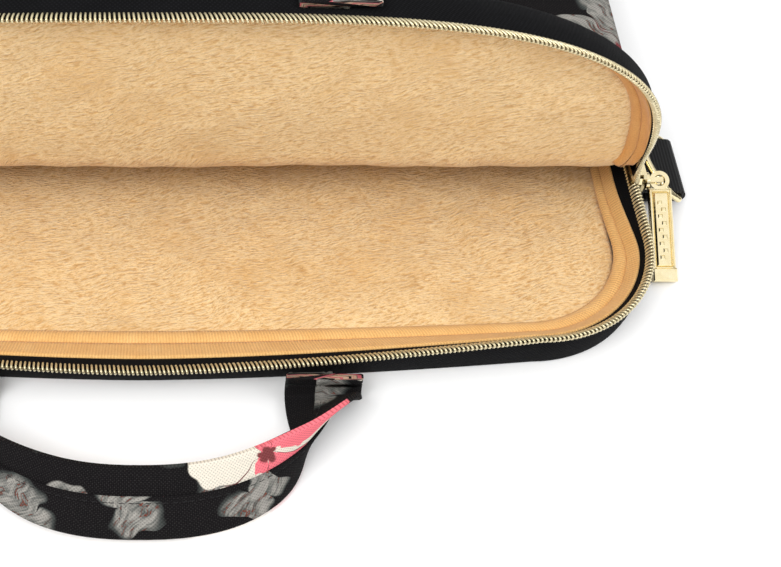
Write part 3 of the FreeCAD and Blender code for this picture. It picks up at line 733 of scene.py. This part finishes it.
def strap_section():
    """Two bands of cloth: the lower one is folded under and stitched over the upper one."""
    g = STRAP_GAUGE / 2 - 0.2
    face = [(12.3, -g * 0.499), (12.3, -g * 0.5), (11.6, 0.3 - g)]
    face += [(p, 0.35 - g) for p in np.linspace(10, SEAM + 0.5, 5)]
    face += [(SEAM + 0.121, 0.3 - g), (SEAM + 0.12, 0.3 - g), (SEAM, -g - 0.4)]
    face += [(SEAM - 1.0, -g - 0.5), (SEAM - 2.0, -g - 0.1)]
    face += [(SEAM - 2.8, -g - 0.35)] + [(p, -g - 0.2) for p in np.linspace(SEAM - 4.5, -10.5, 5)]
    face += [(-11.7, -g), (-12.3, -g * 0.5), (-12.3, -g * 0.499)]
    return np.array(face + [(-p, -q) for p, q in face])


def strap_cloth(name, frames, at, placed):
    """The strap's cloth, each band cut from its own place in the print."""
    centre, broad, thick = frames
    section = strap_section()
    grid = centre[:, None] + broad[:, None] * section[None, :, :1] + thick[:, None] * section[None, :, 1:]
    rows, cols = grid.shape[:2]
    half = cols // 2
    around = np.concatenate([[0], np.cumsum(np.linalg.norm(np.diff(section[:half], axis=0), axis=1))])
    cut = np.array([UPPER_BAND if p > SEAM + 0.1205 else LOWER_BAND for p, q in section[:half]])
    u, v = cut[:, 0], around + cut[:, 1]
    u[-1], v[-1] = u[0], v[0]
    u, v = np.tile(u, 2), np.tile(v, 2)
    uv = np.stack(np.broadcast_arrays(at[:, None] + u[None], v[None]), axis=-1)
    faces = [tuple(f) for f in grid_faces(rows, cols, wrap=True)]
    faces += [tuple(range(cols))[::-1], tuple(range((rows - 1) * cols, rows * cols))]
    return build(name, placed(grid.reshape(-1, 3)), faces, uv.reshape(-1, 2), "floral_canvas")


def strap_stitches(name, frames, at, placed):
    """A row of stitches along the lower band's edge, on both faces."""
    centre, broad, thick = frames
    points, faces = [], []
    for mark in np.arange(16, at[-1] - 16, 2.7):
        i = int(np.searchsorted(at, mark))
        along = unit(centre[i + 1] - centre[i - 1])
        for face in (-1, 1):
            spot = centre[i] - broad[i] * face * (SEAM - 2.0) + thick[i] * face * (STRAP_GAUGE / 2 - 0.12)
            beads = [(spot + along * k, share) for k, share in STRAP_STITCH]
            add_stitch(points, faces, beads, broad[i], thick[i])
    return build(name, placed(points), faces, None, "webbing")


def strap(name, flip, place):
    """A strap handle; flip turns it over for the front panel, place puts it on the bag."""
    frames = strap_frames()
    at = np.concatenate([[0], np.cumsum(np.linalg.norm(np.diff(frames[0], axis=0), axis=1))])
    drop = STRAP_GAUGE if flip < 0 else 0

    def placed(points):
        return place(np.asarray(points) * (1, 1, flip) - (0, 0, drop))

    return (strap_cloth(name + "_cloth", frames, at, placed),
            strap_stitches(name + "_stitches", frames, at, placed))


HANDLE_Y, HANDLE_Z = -134.0, 3.6   # the back handle's hinge line; the front one's is level with TOP
FRONT_TURN = math.radians(165)     # how far the front handle is folded back
TURN_LENGTH = 7.0                  # the length of strap that takes up this fold


def back_place(points):
    return points + (0, HANDLE_Y, HANDLE_Z)


def turned(points, angle, y, z):
    dy, dz = points[:, 1] - y, points[:, 2] - z
    c, s = np.cos(angle), np.sin(angle)
    return np.stack([points[:, 0], y + dy * c - dz * s, z + dy * s + dz * c], axis=1)


def front_place(points):
    """Fold the strap back over the seam, then follow the flap open."""
    amount = smooth(-points[:, 1] / TURN_LENGTH)
    folded = turned(points, -FRONT_TURN * amount, 0, 0)
    return turned(folded + (0, HANDLE_Y, TOP), -OPEN, FOLD, TOP)


for piece in strap("back_handle", 1, back_place):
    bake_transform(piece)
    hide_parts("back_handle", "back_handle_end_right", "back_handle_end_left")
for piece in strap("front_handle", -1, front_place):
    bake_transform(piece)
    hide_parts("front_handle", "front_handle_end_right", "front_handle_end_left")

# ---- pull tags: a rim, a bevelled flute, an end cap and a plain raised pattern -------------------
SLOPE = math.radians(28)           # how steeply the tags hang
TAG_PIVOT = (179.8, -54.0, 18.0)   # the point the right tag swings about


def block(low, high, ease):
    """Corner points and faces of a box whose top edges are eased."""
    (x0, y0, z0), (x1, y1, z1) = low, high
    e = ease
    ring = [[(x0, y0, z0), (x1, y0, z0), (x1, y1, z0), (x0, y1, z0)],
            [(x0, y0, z1 - e), (x1, y0, z1 - e), (x1, y1, z1 - e), (x0, y1, z1 - e)],
            [(x0 + e, y0 + e, z1), (x1 - e, y0 + e, z1), (x1 - e, y1 - e, z1), (x0 + e, y1 - e, z1)]]
    faces = [(3, 2, 1, 0), (8, 9, 10, 11)]
    faces += [(4 * k + j, 4 * k + (j + 1) % 4, 4 * k + 4 + (j + 1) % 4, 4 * k + 4 + j)
              for k in range(2) for j in range(4)]
    return [p for r in ring for p in r], faces


def tag_relief(side, name):
    blocks = [block((-3.8, -31.0, 0.9), (-2.9, -3.2, 1.35), 0.2),    # rim
              block((3.0, -31.0, 0.9), (3.8, -3.2, 1.35), 0.2),
              block((-3.0, -4.0, 0.9), (3.1, -3.2, 1.35), 0.2),
              block((-4.1, -35.6, 0.9), (4.1, -31.0, 1.75), 0.35),   # end cap
              block((-3.0, -30.7, 0.8), (2.9, -4.0, 1.75), 0.85)]    # bevelled flute
    for k in range(9):
        x, y = -1.5 + 1.2 * (k % 2), -28.0 + 2.4 * k
        blocks.append(block((x, y, 1.6), (x + 1.6, y + 1.4, 2.05), 0.3))
    points, faces = [], []
    for spots, quads in blocks:
        faces += [tuple(i + len(points) for i in q) for q in quads]
        points += spots
    local = np.array(points)
    c, s = math.cos(SLOPE), math.sin(SLOPE)
    x, y, z = TAG_PIVOT
    world = np.stack([side * (x + local[:, 0]), y + local[:, 1] * c - local[:, 2] * s,
                      z + local[:, 1] * s + local[:, 2] * c], axis=1)
    if side < 0:
        faces = [f[::-1] for f in faces]
    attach(build("pull_tag_relief_" + name, world, faces, None, "gold_metal", False), "tag_" + name)


tag_relief(1, "right")
tag_relief(-1, "left")

# ---- carried-over metal, webbing and covers ---------------------------------------------------
SLOTS = {entry["node"]: entry["material_slot"] for entry in frame["record"]["subparts"]}
for node, thing in frame["nodes"].items():
    slot = SLOTS[node]
    thing.data.materials.clear()
    thing.data.materials.append(MATERIALS[slot])
    if slot in ("gold_metal", "webbing"):
        bevel = thing.modifiers.new("edge", "BEVEL")
        bevel.width, bevel.segments, bevel.limit_method = 0.00028, 3, "ANGLE"
        bevel.angle_limit = math.radians(40)
        weighted = thing.modifiers.new("shade", "WEIGHTED_NORMAL")
        weighted.keep_sharp = True

# ---- stage: table, light, camera ----------------------------------------------------------------
def plain(name, text, rough):
    p = Paint(name)
    tone = p.noise(p.place((400, 400, 400)), 1.0, 2)
    return p.finish(p.mix(tone, rgb(text), rgb("ffffff")), rough, specular=0.1)


TABLE = 60   # half the table's width in metres, so that its edge is out of sight
table_data = bpy.data.meshes.new("table_top")
table_data.from_pydata([(-TABLE, -TABLE, 0), (TABLE, -TABLE, 0), (TABLE, TABLE, 0), (-TABLE, TABLE, 0)],
                       [], [(0, 1, 2, 3)])
table_data.materials.append(plain("table_paint", "fafafa", 0.7))
table_top = bpy.data.objects.new("table_top", table_data)
bpy.context.scene.collection.objects.link(table_top)

world = bpy.data.worlds.new("studio")
bpy.context.scene.world = world
world.use_nodes = True
sky = world.node_tree
sky.nodes["Background"].inputs["Color"].default_value = (1, 1, 1, 1)
height = sky.nodes.new("ShaderNodeSeparateXYZ")
ramp = sky.nodes.new("ShaderNodeMapRange")
SKY = {"From Min": 0.15, "From Max": 0.75, "To Min": 0.15, "To Max": 1.1}   # dim low down, bright above
for key, value in SKY.items():
    ramp.inputs[key].default_value = value
sky.links.new(sky.nodes.new("ShaderNodeTexCoord").outputs["Generated"], height.inputs[0])
sky.links.new(height.outputs[2], ramp.inputs["Value"])
sky.links.new(ramp.outputs[0], sky.nodes["Background"].inputs["Strength"])


def area_light(name, at, target, width, power):
    data = bpy.data.lights.new(name, "AREA")
    data.shape, data.size, data.size_y, data.energy = "RECTANGLE", width, width * 0.7, power
    lamp = bpy.data.objects.new(name, data)
    lamp.location = at
    lamp.rotation_mode = "QUATERNION"
    lamp.rotation_quaternion = (Vector(target) - Vector(at)).to_track_quat("-Z", "Y")
    bpy.context.scene.collection.objects.link(lamp)


area_light("key_light", (-0.7, -0.9, 1.3), (0, -0.08, 0.02), 0.9, 16)
area_light("fill_light", (1.2, -0.6, 1.1), (0.05, -0.08, 0.02), 1.1, 7)

camera_data = bpy.data.cameras.new("camera")
camera_data.lens, camera_data.sensor_width = 71.9, 36
camera_data.shift_x = 0.321   # the sleeve's middle lies near the left edge of the photo
CAMERA_TILT = math.radians(38)
camera = bpy.data.objects.new("camera", camera_data)
camera.location = (0, -0.41483, 0.42213)
camera.rotation_euler = (CAMERA_TILT, 0, 0)
bpy.context.scene.collection.objects.link(camera)
bpy.context.scene.camera = camera
bpy.context.scene.view_settings.view_transform = "Standard"
